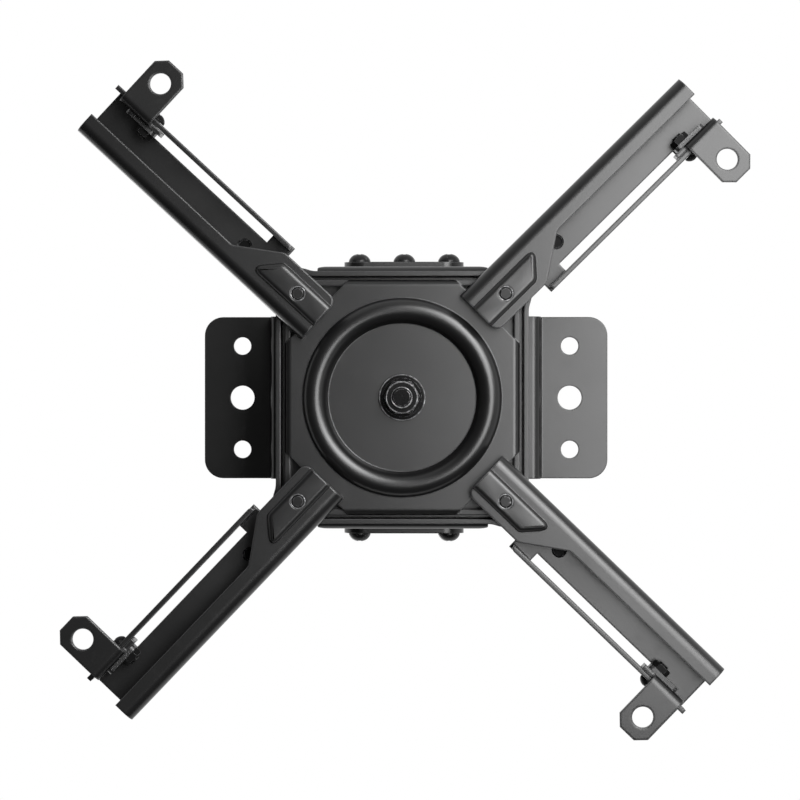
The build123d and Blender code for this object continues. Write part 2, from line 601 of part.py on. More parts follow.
def end_bracket():
    """A tab with a hole, folded to a longer wall that stands inside the rail."""
    wall_out = ARM_RAIL_V - ARM_SHEET - FACE_GAP
    wall_in = wall_out - TAB_SHEET
    wall_top = CLAMP_Z + TAB_WALL_ABOVE_CLAMP
    height = wall_top - TAB_BOTTOM
    reach = TAB_REACH_V - wall_in
    outer = Pos(reach, height) * Rectangle(2 * reach, 2 * height)
    inner = Pos(reach + TAB_SHEET, height + TAB_SHEET) * Rectangle(2 * reach, 2 * height)
    low_left_outer = outer.vertices().sort_by(Axis.X)[:2].sort_by(Axis.Y)[0]
    low_left_inner = inner.vertices().sort_by(Axis.X)[:2].sort_by(Axis.Y)[0]
    fold = fillet(low_left_outer, TAB_BEND) - fillet(low_left_inner, TAB_BEND - TAB_SHEET)
    fold &= Pos(reach / 2, height / 2) * Rectangle(reach, height)
    fold = Plane.YZ * (Pos(wall_in, TAB_BOTTOM) * fold)
    folded = extrude(fold, 2 * TAB_WALL_INNER, both=True)
    tab = Pos(0, TAB_REACH_V / 2) * Rectangle(TAB_WIDTH, TAB_REACH_V)
    tab = chamfer(tab.vertices().sort_by(Axis.Y)[-2:], TAB_CHAMFER)
    wall_mid = (TAB_WALL_OUTER - TAB_WALL_INNER) / 2
    wall_plan = Pos(wall_mid, (wall_in + wall_out) / 2) * Rectangle(TAB_WALL_INNER + TAB_WALL_OUTER, TAB_SHEET)
    step_z = TAB_BOTTOM + TAB_BEND + TAB_SHEET
    keep = slab(tab, TAB_BOTTOM, step_z) + slab(wall_plan, step_z, wall_top)
    body = folded & keep
    body -= slab(Pos(0, TAB_HOLE_V) * Circle(TAB_HOLE_D / 2), TAB_BOTTOM - 1, TAB_TOP + 1)
    body -= Pos(CLAMP_SHIFT, wall_in, CLAMP_Z) * Rot(90, 0, 0) * Cylinder(CLAMP_SCREW_D / 2, 4 * TAB_SHEET)
    return body


def clamp_stack():
    """The places along Y of the clamp's pieces: wall, washer, nut and the screw's tip."""
    wall_in = ARM_RAIL_V - ARM_SHEET - FACE_GAP - TAB_SHEET
    washer_in = wall_in - CLAMP_WASHER_T
    nut_in = washer_in - CLAMP_NUT_H
    return wall_in, washer_in, nut_in


def clamp_screw():
    nut_in = clamp_stack()[2]
    seat = ARM_RAIL_V + FACE_GAP
    screw = pan_screw(CLAMP_SCREW_D, seat - nut_in + CLAMP_TIP, CLAMP_HEAD_D, CLAMP_HEAD_H)
    return facing_y(screw, CLAMP_SHIFT, seat, CLAMP_Z, 1)


def clamp_washer():
    """A long washer that keeps the nut from turning: it lies along the arm, against the bracket's wall."""
    length = CLAMP_PLATE_INNER + CLAMP_PLATE_OUTER
    plate = rounded_rectangle(length, CLAMP_PLATE_HEIGHT, CLAMP_PLATE_CORNER)
    plate = Pos((CLAMP_PLATE_OUTER - CLAMP_PLATE_INNER) / 2, 0) * plate - Circle(CLAMP_SCREW_D / 2)
    return facing_y(slab(plate, -CLAMP_WASHER_T, 0), CLAMP_SHIFT, clamp_stack()[0], CLAMP_Z, 1)


def clamp_nut():
    nut = hex_nut(CLAMP_NUT_AF, CLAMP_SCREW_D, -CLAMP_NUT_H, 0)
    return facing_y(nut, CLAMP_SHIFT, clamp_stack()[1], CLAMP_Z, 1)


def at_corner(corner, shape, along=0.0):
    """Sets a piece that is drawn in an arm's own directions at that arm's corner of the hub."""
    direction = ARM_DIRECTIONS[corner]
    sx = 1 if math.cos(math.radians(direction)) > 0 else -1
    sy = 1 if math.sin(math.radians(direction)) > 0 else -1
    return Pos(sx * PIVOT_OFFSET, sy * PIVOT_OFFSET, 0) * Rot(0, 0, direction) * Pos(along, 0, 0) * shape


def all_pieces():
    pieces = {
        "ceiling_bracket": ceiling_bracket(),
        "tilt_pivot_screw": tilt_screw(0, -1),
        "tilt_pivot_nut": tilt_nut(0, -1, FACE_GAP),
        "tilt_flush_screw": pivot_screw_flush(),
        "tilt_flush_nut": tilt_nut(0, 1, FACE_GAP),
        "tilt_yoke": tilt_yoke(),
        "swivel_bolt": swivel_bolt(),
        "friction_disc": friction_disc(),
        "swivel_washer": swivel_washer(),
        "swivel_nut": swivel_nut(),
        "hub_pan": hub_pan(),
        "hub_tray": hub_tray(),
        "hub_spacer": hub_spacer(),
    }
    for end, side in (("rear", -1), ("front", 1)):
        for hand, x in (("left", -LOCK_RADIUS), ("right", LOCK_RADIUS)):
            pieces[f"lock_screw_{end}_{hand}"] = tilt_screw(x, side)
            pieces[f"lock_nut_{end}_{hand}"] = tilt_nut(x, side, 0)
    arm = arm_blank()
    bracket = end_bracket()
    for corner, tab_centre in TAB_CENTRES.items():
        pieces[f"arm_{corner}"] = at_corner(corner, arm)
        pieces[f"pivot_bolt_{corner}"] = at_corner(corner, pivot_bolt())
        pieces[f"pivot_bush_{corner}"] = at_corner(corner, pivot_bush())
        pieces[f"end_bracket_{corner}"] = at_corner(corner, bracket, tab_centre)
        pieces[f"clamp_screw_{corner}"] = at_corner(corner, clamp_screw(), tab_centre)
        pieces[f"clamp_washer_{corner}"] = at_corner(corner, clamp_washer(), tab_centre)
        pieces[f"clamp_nut_{corner}"] = at_corner(corner, clamp_nut(), tab_centre)
    return pieces


os.makedirs("parts", exist_ok=True)
for name, shape in all_pieces().items():
    export_step(shape, f"parts/{name}.step")
    print(f"{name}: {shape.volume / 1000:.2f} cm3")
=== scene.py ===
# %% [markdown]
# # A projector's ceiling mount, dressed
#
# The mount hangs from the ceiling and the camera looks straight up at it. Its solids come from the packed
# model and stay where they are. This lesson gives them their finishes, adds the small things that the solids
# leave plain, such as threads, and sets up the light and the camera.

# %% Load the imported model
import math

import bmesh
import bpy
from mathutils import Matrix, Vector


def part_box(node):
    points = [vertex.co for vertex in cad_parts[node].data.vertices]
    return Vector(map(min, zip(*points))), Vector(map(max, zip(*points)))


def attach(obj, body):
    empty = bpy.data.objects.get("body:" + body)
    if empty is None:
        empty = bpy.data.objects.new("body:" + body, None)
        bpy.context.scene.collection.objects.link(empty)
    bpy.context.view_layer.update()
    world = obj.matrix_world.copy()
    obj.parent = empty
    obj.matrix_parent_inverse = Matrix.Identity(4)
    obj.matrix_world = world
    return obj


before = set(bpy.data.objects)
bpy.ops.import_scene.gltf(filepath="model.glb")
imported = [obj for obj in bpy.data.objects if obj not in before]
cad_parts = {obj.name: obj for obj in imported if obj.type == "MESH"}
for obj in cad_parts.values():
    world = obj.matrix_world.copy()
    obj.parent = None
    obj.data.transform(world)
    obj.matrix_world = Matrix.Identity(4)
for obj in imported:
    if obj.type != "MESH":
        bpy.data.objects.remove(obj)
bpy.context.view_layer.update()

MM = 0.001

# %% [markdown]
# ## The camera
#
# The picture was taken from far away with a long lens, so that near and far levels of the mount differ by only
# a few percent. The camera stands 1.4 m below the hub's face, a little towards the right ear, and looks up. The
# picture's top lies along -Y. The camera's rotation is built from its own right, up and back directions.

# %% Camera
HUB_FACE_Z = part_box("hub_tray")[0].z
HUB_MIDDLE = Vector((0.0, 0.0, HUB_FACE_Z))
CAMERA_DISTANCE = 1.40
PICTURE_WIDTH = 0.320
CAMERA_SIDE = 0.024
TARGET = HUB_MIDDLE + Vector((-0.0008, 0.0010, 0.0))
SENSOR_MM = 36.0

camera_data = bpy.data.cameras.new("camera")
camera = bpy.data.objects.new("camera", camera_data)
bpy.context.scene.collection.objects.link(camera)
bpy.context.scene.camera = camera
camera_data.sensor_width = SENSOR_MM
camera_data.lens = SENSOR_MM * CAMERA_DISTANCE / PICTURE_WIDTH
camera.location = TARGET + Vector((CAMERA_SIDE, 0.0, -CAMERA_DISTANCE))
look = (TARGET - camera.location).normalized()
right = Vector((1.0, 0.0, 0.0))
right = (right - look * right.dot(look)).normalized()
up = right.cross(look)
camera.rotation_mode = "QUATERNION"
camera.rotation_quaternion = Matrix((right, up, -look)).transposed().to_quaternion()
camera_data.clip_start = 0.05
camera_data.clip_end = 20.0
print("lens in mm:", round(camera_data.lens, 1))

# %% [markdown]
# ## Shader maths as plain expressions
#
# A shader is a graph of nodes. Long graphs are hard to read, so the first class wraps one socket and lets values
# be added and multiplied as in Python. Every other node comes from one method that takes its type, its settings
# and its inputs. The third class is a material with the few patterns that the finishes share.

# %% Shader helpers
BEVEL_SAMPLES = 6
LEAN_OFF_EDGE, LEAN_ON_EDGE = 0.985, 0.88


class Value:
    """One output of a node, with the arithmetic that the finishes below use."""

    def __init__(self, graph, socket):
        self.graph = graph
        self.socket = socket

    def _math(self, operation, a, b):
        return self.graph.node("ShaderNodeMath", {"operation": operation}, {0: a, 1: b})

    def __add__(self, other):
        return self._math("ADD", self, other)

    def __radd__(self, other):
        return self._math("ADD", other, self)

    def __rsub__(self, other):
        return self._math("SUBTRACT", other, self)

    def __mul__(self, other):
        return self._math("MULTIPLY", self, other)

    def __rmul__(self, other):
        return self._math("MULTIPLY", other, self)


class Graph:
    """A tree of nodes, of a material or of the world."""

    def __init__(self, tree):
        self.tree = tree

    def node(self, kind, settings=None, inputs=None, output=0):
        """Adds a node, with its settings first and then its inputs, and gives one of its outputs."""
        made = self.tree.nodes.new(kind)
        for key, value in (settings or {}).items():
            setattr(made, key, value)
        for key, value in (inputs or {}).items():
            self.feed(made.inputs[key], value)
        return Value(self, made.outputs[output])

    def feed(self, socket, value):
        if isinstance(value, Value):
            self.tree.links.new(value.socket, socket)
        else:
            socket.default_value = value


class Finish(Graph):
    """A material and the nodes in it."""

    def __init__(self, name, **constants):
        self.material = bpy.data.materials.new(name)
        self.material.use_nodes = True
        super().__init__(self.material.node_tree)
        self.shader = self.tree.nodes["Principled BSDF"]
        for socket, value in constants.items():
            self.set(socket, value)

    def set(self, socket, value):
        self.feed(self.shader.inputs[socket], value)

    def place(self):
        return self.node("ShaderNodeTexCoord", output="Object")

    def noise(self, scale, detail=2.0, roughness=0.5):
        inputs = {"Vector": self.place(), "Scale": scale, "Detail": detail, "Roughness": roughness}
        return self.node("ShaderNodeTexNoise", {}, inputs)

    def ramp(self, value, low, high):
        """Spreads the part of a value between low and high over 0 to 1."""
        inputs = {"Value": value, "From Min": low, "From Max": high}
        return self.node("ShaderNodeMapRange", {"clamp": True}, inputs)

    def blend(self, factor, first, second):
        inputs = {"Factor": factor, 6: first, 7: second}
        return self.node("ShaderNodeMix", {"data_type": "RGBA"}, inputs, output=2)

    def soft_edge(self, radius):
        """The normal of a surface whose edges are rounded to a radius, as a coat or a tumbled part has them."""
        return self.node("ShaderNodeBevel", {"samples": BEVEL_SAMPLES}, {"Radius": radius})

    def edge_mask(self, radius):
        """1 on an edge and 0 on flat faces: how far the rounded normal leans away from the face's own."""
        face = self.node("ShaderNodeNewGeometry", output="Normal")
        lean = self.node("ShaderNodeVectorMath", {"operation": "DOT_PRODUCT"}, {0: self.soft_edge(radius), 1: face}, 1)
        return self.ramp(lean, LEAN_OFF_EDGE, LEAN_ON_EDGE)

    def bump(self, height, distance, edge_radius):
        inputs = {"Height": height, "Distance": distance, "Normal": self.soft_edge(edge_radius)}
        self.set("Normal", self.node("ShaderNodeBump", {}, inputs))


def grey(level):
    return (level, level, level * 1.02, 1.0)


# %% [markdown]
# ## Powder coat
#
# The sheet parts are coated with black powder that is baked until it flows. It never flows quite flat: the film
# keeps a fine orange peel, about a millimetre from crest to crest, and gets slightly thinner and duller in
# places. So the bump is a noise at that scale, and the roughness drifts over some centimetres. Grains of dust
# in the film give a few paler specks. The film also rounds every cut edge, and those edges catch the light as
# thin lines. The solids have sharp edges, so the Bevel node turns the normal near an edge, with the sheet's
# outline as it is. Pressed creases on the arms are softer, so the arms get a larger radius, and the punched tabs
# are rounder still. The edges are also painted a little paler: a painted highlight that adds to the light they catch.

# %% Powder coat
COAT_GREY = 0.006
COAT_SPECK_GREY = 4.0 * COAT_GREY
COAT_EDGE_HIGHLIGHT_GREY = 0.08
COAT_ROUGHNESS = 0.26
PEEL_SCALE, WAVE_SCALE = 900.0, 300.0
PEEL_HEIGHT = 0.008 * MM
DRIFT_SCALE, WEAR_SCALE, SPECK_SCALE = 38.0, 160.0, 2600.0
SPECK_SHARE, WORN_SHARE, EDGE_HIGHLIGHT_SHARE = 0.25, 0.06, 0.6
DRIFT_ROUGHNESS, WORN_ROUGHNESS = 0.06, 0.05
WAVE_SHARE = 0.5


def powder_coat(name, edge_radius):
    film = Finish(name, Metallic=0.0, IOR=1.5)
    peel = film.noise(PEEL_SCALE)
    drift = film.noise(DRIFT_SCALE, 3.0)
    speck = film.ramp(film.noise(SPECK_SCALE, 1.0), 0.72, 0.80)
    worn = film.ramp(film.noise(WEAR_SCALE, 4.0, 0.6), 0.58, 0.80)
    tone = film.blend(drift, grey(COAT_GREY * 0.8), grey(COAT_GREY * 1.2))
    tone = film.blend(speck * SPECK_SHARE + worn * WORN_SHARE, tone, grey(COAT_SPECK_GREY))
    # painted highlight: the edges get a paler colour, so they show as thin bright lines
    tone = film.blend(EDGE_HIGHLIGHT_SHARE * film.edge_mask(edge_radius), tone, grey(COAT_EDGE_HIGHLIGHT_GREY))
    film.set("Base Color", tone)
    film.set("Roughness", COAT_ROUGHNESS + DRIFT_ROUGHNESS * drift + WORN_ROUGHNESS * worn)
    film.bump(peel + WAVE_SHARE * film.noise(WAVE_SCALE), PEEL_HEIGHT, edge_radius)
    return film.material


coat = powder_coat("black_powder_coat", 0.7 * MM)
arm_coat = powder_coat("black_powder_coat_arms", 1.0 * MM)
tab_coat = powder_coat("black_powder_coat_tabs", 1.3 * MM)
print("powder coat nodes:", len(coat.node_tree.nodes))

# %% [markdown]
# ## Black zinc
#
# The screws, nuts and washers aren't coated. They are plated and blackened, which leaves a thin dark skin with
# more gloss than the coat has. Tools and threads rub the skin, and that shows as paler patches of the metal
# below. The edges are made paler too, partly as rubbed metal and partly as a painted highlight for the light
# they catch. The swivel's nut and the clamps mirror less than the other screws do, so their skin
# has a lower index of refraction.

# %% Black zinc
RUB_SCALE, CHIP_SCALE, GRAIN_SCALE = 520.0, 900.0, 1500.0
GRAIN_HEIGHT = 0.006 * MM
TUMBLED_EDGE = 0.3 * MM


def black_zinc(name, level=0.008, rub=0.50, roughness=0.24, rubbed_from=0.60, edge=0.8, ior=1.32):
    skin = Finish(name, IOR=ior)
    patches = skin.ramp(skin.noise(RUB_SCALE, 4.0, 0.65), rubbed_from, rubbed_from + 0.2)
    chips = skin.ramp(skin.noise(CHIP_SCALE, 3.0), 0.40, 0.60)
    # random paler patches are wear; the paler edges are partly wear and partly a painted highlight
    rubbed_and_edge_highlight = 0.5 * patches + edge * skin.edge_mask(TUMBLED_EDGE) * chips
    grain = skin.noise(GRAIN_SCALE, 3.0)
    skin.set("Base Color", skin.blend(rubbed_and_edge_highlight, grey(level), grey(rub)))
    skin.set("Metallic", rubbed_and_edge_highlight)
    skin.set("Roughness", roughness + 0.12 * grain)
    skin.bump(grain, GRAIN_HEIGHT, TUMBLED_EDGE)
    return skin.material


black_steel = black_zinc("black_zinc")
# paler and more rubbed than the other zinc: partly wear, partly a painted highlight that makes its thin rings show
# bright
rubbed_highlight_steel = black_zinc("rubbed_zinc_highlight", level=0.05, rub=0.6, rubbed_from=0.45)
dark_steel = black_zinc("dark_zinc", level=0.005, roughness=0.22, rubbed_from=0.66, edge=0.9, ior=1.14)
dull_steel = black_zinc("dull_zinc", level=0.005, roughness=0.34, rubbed_from=0.72, edge=0.3, ior=1.14)
print("black zinc nodes:", len(black_steel.node_tree.nodes))

# %% [markdown]
# ## Nylon
#
# The nut's ring and the friction disc are black nylon. It has no metal below to shine through, and its surface
# is duller and cloudy.

# %% Nylon
NYLON_GREY = 0.008
CLOUD_SCALE = 240.0
CLOUD_HEIGHT = 0.02 * MM

nylon = Finish("black_nylon", IOR=1.12)
cloud = nylon.noise(CLOUD_SCALE)
nylon.set("Base Color", nylon.blend(cloud, grey(NYLON_GREY * 0.9), grey(NYLON_GREY * 1.1)))
nylon.set("Roughness", 0.5 + 0.1 * cloud)
nylon.bump(cloud, CLOUD_HEIGHT, TUMBLED_EDGE)
black_nylon = nylon.material
print("nylon nodes:", len(black_nylon.node_tree.nodes))

# %% [markdown]
# ## The clamp plate's grip
#
# The long plate under each clamp nut is rolled with a fine grip on its face and edges, so that it bites into
# the bracket's wall. In the picture that shows as a strip of small bright and dark spots. Voronoi cells of
# about 0.7 mm give the teeth: their distance is the height, and their tips are rubbed pale.

# %% Grip
TEETH_SCALE = 1400.0
TEETH_HEIGHT = 0.12 * MM
TEETH_GREY, TIP_GREY = 0.012, 0.22

teeth = Finish("grip_zinc", IOR=1.7)
cells = teeth.node("ShaderNodeTexVoronoi", {"feature": "F1"}, {"Vector": teeth.place(), "Scale": TEETH_SCALE})
tip = teeth.ramp(cells, 0.32, 0.12)
teeth.set("Base Color", teeth.blend(tip, grey(TEETH_GREY), grey(TIP_GREY)))
teeth.set("Metallic", 0.3 + 0.5 * tip)
teeth.set("Roughness", 0.42 - 0.12 * tip)
teeth.bump(tip, TEETH_HEIGHT, 0.2 * MM)
grip_steel = teeth.material
print("grip nodes:", len(grip_steel.node_tree.nodes))

# %% [markdown]
# ## Which piece has which finish
#
# Every solid of the model gets one of these finishes, by the first words of its name.

# %% Finishes on the solids
FINISHES = {
    "ceiling_bracket": coat,
    "tilt_yoke": coat,
    "hub_pan": coat,
    "hub_tray": coat,
    "arm_": arm_coat,
    "end_bracket_": tab_coat,
    "pivot_bush_": coat,
    "friction_disc": black_nylon,
    "hub_spacer": black_steel,
    "swivel_": dark_steel,
    "pivot_bolt_": black_steel,
    "clamp_washer_": grip_steel,
    "clamp_": dull_steel,
    "lock_": black_steel,
    "tilt_": black_steel,
}


def finish_of(node):
    for first_words, material in FINISHES.items():
        if node.startswith(first_words):
            return material
    raise KeyError(node)


for node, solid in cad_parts.items():
    solid.data.materials.clear()
    solid.data.materials.append(finish_of(node))
print("solids with a finish:", len(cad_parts))

# %% [markdown]
# ## Working in edit mode from a script
#
# Every new piece below is made as by hand: a primitive at its size, then edit-mode tools. A tool acts on all that
# is selected, so these helpers leave one piece selected, and pick its corners, edges or faces by their place.

# %% Modelling helpers
DOUBLES = 0.001 * MM


def alone(piece):
    bpy.ops.object.select_all(action="DESELECT")
    piece.select_set(True)
    bpy.context.view_layer.objects.active = piece


def start(primitive, name, **settings):
    """A new primitive with its place and size in its mesh, in edit mode and wholly selected."""
    bpy.ops.object.select_all(action="DESELECT")
    primitive(**settings)
    piece = bpy.context.object
    piece.name = piece.data.name = name
    bpy.ops.object.transform_apply(location=True, rotation=True, scale=True)
    bpy.ops.object.mode_set(mode="EDIT")
    bpy.ops.mesh.select_all(action="SELECT")
    return piece


def pick(kind, test):
    """Selects what passes a test on its middle, and its normal for faces or its direction for edges."""
    bpy.ops.mesh.select_mode(type=kind)
    bpy.ops.mesh.select_all(action="DESELECT")
    mesh = bmesh.from_edit_mesh(bpy.context.edit_object.data)
    for part in {"VERT": mesh.verts, "EDGE": mesh.edges, "FACE": mesh.faces}[kind]:
        if kind == "VERT":
            wanted = test(part.co)
        elif kind == "EDGE":
            first, last = (corner.co for corner in part.verts)
            wanted = test((first + last) / 2, (last - first).normalized())
        else:
            wanted = test(part.calc_center_median(), part.normal)
        if wanted:
            part.select_set(True)
    mesh.select_flush_mode()
    bmesh.update_edit_mesh(bpy.context.edit_object.data)


def close_and_smooth(angle=35.0):
    """Merges doubles, turns all faces outwards, leaves edit mode and shades the piece smooth up to an angle."""
    bpy.ops.mesh.select_all(action="SELECT")
    bpy.ops.mesh.remove_doubles(threshold=DOUBLES)
    bpy.ops.mesh.normals_make_consistent(inside=False)
    bpy.ops.object.mode_set(mode="OBJECT")
    bpy.ops.object.shade_smooth_by_angle(angle=math.radians(angle))


def set_down(piece, place, turn):
    """Turns a piece about Z, moves it, and puts both into its mesh."""
    alone(piece)
    piece.matrix_world = Matrix.Translation(place) @ Matrix.Rotation(math.radians(turn), 4, "Z")
    bpy.context.view_layer.update()
    bpy.ops.object.transform_apply(location=True, rotation=True, scale=True)


def dress(piece, material, body):
    piece.data.materials.clear()
    piece.data.materials.append(material)
    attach(piece, body)


# %% [markdown]
# ## One piece for each arm
#
# The four arms are alike, and so is what is on them. Such a piece is modelled once, along +X from its arm's
# pivot, and every arm gets a copy with its own mesh, turned to the arm's direction and set at its pivot bolt.

# %% Arms
ARM_DIRECTIONS = {"front_right": 43.9, "front_left": 133.7, "rear_left": 222.9, "rear_right": 315.3}


def pivot_of(corner):
    low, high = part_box("pivot_bolt_" + corner)
    return Vector(((low.x + high.x) / 2, (low.y + high.y) / 2, 0.0))


def one_for_each_arm(pattern, name, material):
    for corner, direction in ARM_DIRECTIONS.items():
        copy = pattern.copy()
        copy.data = pattern.data.copy()
        copy.name = copy.data.name = f"{name}_{corner}"
        bpy.context.scene.collection.objects.link(copy)
        set_down(copy, pivot_of(corner), direction)
        dress(copy, material, f"arm_{corner}_body")
    print(name, "faces:", len(pattern.data.polygons), "copies:", len(ARM_DIRECTIONS))
    bpy.data.objects.remove(pattern)


# %% [markdown]
# ## The pad's crown
#
# The arm's root is pressed out round the pivot bolt. The press leaves no flat slopes: the shoulders of the real
# pad are round, run out at the arm's square end, and fade from dark to bright across their width. The solid has
# straight slopes, so this thin crown goes over it. A box is given the pad's slanted end, its two far corners are
# bevelled round, and then its lower edges, except at the arm's end, get one wide bevel of many steps.

# %% Pad crown
ARM_ROOT = 13.2
PAD_HALF = 5.25
PAD_LONG = 21.9
PAD_SHORT = 12.5
LONG_CORNER, SHORT_CORNER = 5.4, 1.4
LIP_BOTTOM = -109.0
CROWN_BOTTOM = -111.15
SHOULDER = 2.08
BOLT_HOLE_R = 2.9

crown = start(
    bpy.ops.mesh.primitive_cube_add, "pad_crown", size=1.0,
    location=((PAD_LONG - ARM_ROOT) / 2 * MM, 0.0, (LIP_BOTTOM + CROWN_BOTTOM) / 2 * MM),
    scale=((PAD_LONG + ARM_ROOT) * MM, 2 * PAD_HALF * MM, (LIP_BOTTOM - CROWN_BOTTOM) * MM))
pick("VERT", lambda at: at.x > 0 and at.y > 0)
bpy.ops.transform.translate(value=((PAD_SHORT - PAD_LONG) * MM, 0.0, 0.0))
pick("EDGE", lambda at, way: abs(way.z) > 0.9 and at.x > 0 and at.y < 0)
bpy.ops.mesh.bevel(offset=LONG_CORNER * MM, segments=7, affect="EDGES")
pick("EDGE", lambda at, way: abs(way.z) > 0.9 and at.x > 0 and at.y > PAD_HALF * 0.99 * MM)
bpy.ops.mesh.bevel(offset=SHORT_CORNER * MM, segments=4, affect="EDGES")
pick("EDGE", lambda at, way: at.z < (CROWN_BOTTOM + 0.01) * MM and at.x > (0.01 - ARM_ROOT) * MM)
bpy.ops.mesh.bevel(offset=SHOULDER * MM, segments=8, profile=0.5, affect="EDGES")
close_and_smooth()
print("crown faces:", len(crown.data.polygons))

# %% Bolt hole in the crown
cutter = start(
    bpy.ops.mesh.primitive_cylinder_add, "hole", vertices=40, radius=BOLT_HOLE_R * MM, depth=8 * MM,
    location=(0.0, 0.0, LIP_BOTTOM * MM))
bpy.ops.object.mode_set(mode="OBJECT")
alone(crown)
cut = crown.modifiers.new("bolt_hole", "BOOLEAN")
cut.operation = "DIFFERENCE"
cut.solver = "EXACT"
cut.object = cutter
bpy.ops.object.modifier_apply(modifier=cut.name)
bpy.data.objects.remove(cutter)
one_for_each_arm(crown, "pad_crown", arm_coat)

# %% [markdown]
# ## The stud in the arm's floor
#
# A small hollow stud is clinched into the floor of each arm, just beyond the lip's flare, and half of it shows
# past the lip. It starts as a cylinder that fills the floor's hole. Its lower face is extruded into a flange, and
# an inset that is pushed back up leaves the dark hollow. The rim gets a small bevel, which carries the highlight.

# %% Floor stud
STUD_U, STUD_V = 29.6, -0.7
FLOOR_TOP, FLOOR_BOTTOM = -93.3, -95.3
STUD_R = 2.35
FLANGE_SLOPE, FLANGE_SPREAD = 0.05, 1.3
FLANGE_HEIGHT = 0.75
RIM_WIDTH = 0.75
RIM_BEVEL = 0.22
HOLLOW_DEPTH = 1.6

stud = start(
    bpy.ops.mesh.primitive_cylinder_add, "floor_stud", vertices=36, radius=STUD_R * MM,
    depth=(FLOOR_TOP - FLOOR_BOTTOM) * MM, location=(STUD_U * MM, STUD_V * MM, (FLOOR_TOP + FLOOR_BOTTOM) / 2 * MM))
stud_middle = Vector((STUD_U * MM, STUD_V * MM, FLOOR_BOTTOM * MM))
pick("FACE", lambda at, normal: normal.z < -0.9)
bpy.ops.mesh.extrude_region_move(TRANSFORM_OT_translate={"value": (0.0, 0.0, -FLANGE_SLOPE * MM)})
bpy.ops.transform.resize(value=(FLANGE_SPREAD, FLANGE_SPREAD, 1.0), center_override=stud_middle)
bpy.ops.mesh.extrude_region_move(TRANSFORM_OT_translate={"value": (0.0, 0.0, -FLANGE_HEIGHT * MM)})
bpy.ops.mesh.inset(thickness=RIM_WIDTH * MM)
bpy.ops.transform.translate(value=(0.0, 0.0, HOLLOW_DEPTH * MM))
pick("EDGE", lambda at, way: at.z < (FLOOR_BOTTOM - FLANGE_HEIGHT) * MM)
bpy.ops.mesh.bevel(offset=RIM_BEVEL * MM, segments=3, affect="EDGES")
close_and_smooth()
one_for_each_arm(stud, "floor_stud", dull_steel)

# %% [markdown]
# ## Turned rings
#
# A ring that a lathe would make is a small section spun about an axis. Here the section is a rectangle with its
# corners cut. Its face is deleted first, or it would stay inside the ring as a wall.

# %% Ring maker
RING_STEPS = 64


def ring(name, inner, outer, low, high, rounding):
    """A ring about the Z axis, between two radii and two levels in mm."""
    middle = Vector(((inner + outer) / 2 * MM, 0.0, (low + high) / 2 * MM))
    piece = start(
        bpy.ops.mesh.primitive_plane_add, name, size=MM, rotation=(math.pi / 2, 0.0, 0.0), location=middle)
    bpy.ops.transform.resize(value=(outer - inner, 1.0, high - low), center_override=middle)
    bpy.ops.mesh.bevel(offset=rounding * MM, segments=3, affect="VERTICES")
    bpy.ops.mesh.delete(type="ONLY_FACE")
    bpy.ops.mesh.select_all(action="SELECT")
    bpy.ops.mesh.spin(steps=RING_STEPS, angle=math.tau, center=(0.0, 0.0, 0.0), axis=(0.0, 0.0, 1.0))
    close_and_smooth(50.0)
    return piece


# %% [markdown]
# ## Rubbed rims round the pivot bolts, with a painted highlight
#
# The arms turn on their bolts, and the edge of each bolt hole is rubbed down to the metal, which shows as a
# bright ring, broken where some of the coat is left. So a thin rim of pale rubbed steel lies in each hole's edge;
# its pale colour is partly a painted highlight for that bright ring.

# %% Hole rims
RIM_IN, RIM_OUT = 0.28, 0.12
RIM_PROUD, RIM_DEPTH = 0.12, 0.5
RIM_ROUNDING = 0.12

rim = ring(
    "hole_rim", BOLT_HOLE_R - RIM_IN, BOLT_HOLE_R + RIM_OUT, CROWN_BOTTOM - RIM_PROUD, CROWN_BOTTOM + RIM_DEPTH,
    RIM_ROUNDING)
one_for_each_arm(rim, "hole_rim", rubbed_highlight_steel)

# %% [markdown]
# ## The swivel's lock nut
#
# A lock nut ends in a collar that is rolled over a nylon ring. The picture shows it as a set of rings: the
# collar's bright lip, the dark nylon inside it and the thread's crests round the bolt's end. The lip and the
# nylon are turned rings. The lip lies on the collar's end face, and the nylon fills it up to the thread.

# %% Collar lip and nylon
COLLAR_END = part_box("swivel_nut")[0].z / MM
BOLT_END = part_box("swivel_bolt")[0].z / MM
BOLT_R = 4.0
LIP_INNER_R, LIP_OUTER_R = 5.95, 6.38
LIP_HEIGHT, LIP_ROUNDING = 0.38, 0.19
NYLON_HEIGHT, NYLON_ROUNDING = 0.16, 0.08
BOLT_GAP, LAP, SUNK = 0.05, 0.02, 0.05

# the lip's pale rubbed steel is partly a painted highlight for the collar's bright ring
lip = ring("nut_collar_lip", LIP_INNER_R, LIP_OUTER_R, COLLAR_END - LIP_HEIGHT, COLLAR_END + SUNK, LIP_ROUNDING)
dress(lip, rubbed_highlight_steel, "hub")
insert = ring(
    "nut_nylon", BOLT_R + BOLT_GAP, LIP_INNER_R + LAP, COLLAR_END - NYLON_HEIGHT, COLLAR_END + SUNK, NYLON_ROUNDING)
dress(insert, black_nylon, "hub")
print("collar ends at", round(COLLAR_END, 2), "and the bolt at", round(BOLT_END, 2), "mm")

# %% [markdown]
# ## Thread on the bolt's end
#
# A thread is one ridge that climbs by its pitch in each turn. The Screw modifier does just that with a small
# section, wide at its foot and narrow at its crest. Its two open ends are filled afterwards. The ridge stands a
# little out of the plain shank.

# %% Thread
PITCH = 0.8
RIDGE_HEIGHT = 0.3
RIDGE_ROOT = 0.12
RIDGE_FOOT, RIDGE_CREST = 0.9, 0.2
THREAD_LOW, THREAD_HIGH = BOLT_END + 0.2, COLLAR_END - 0.3
TURNS = int((THREAD_HIGH - THREAD_LOW) / PITCH)

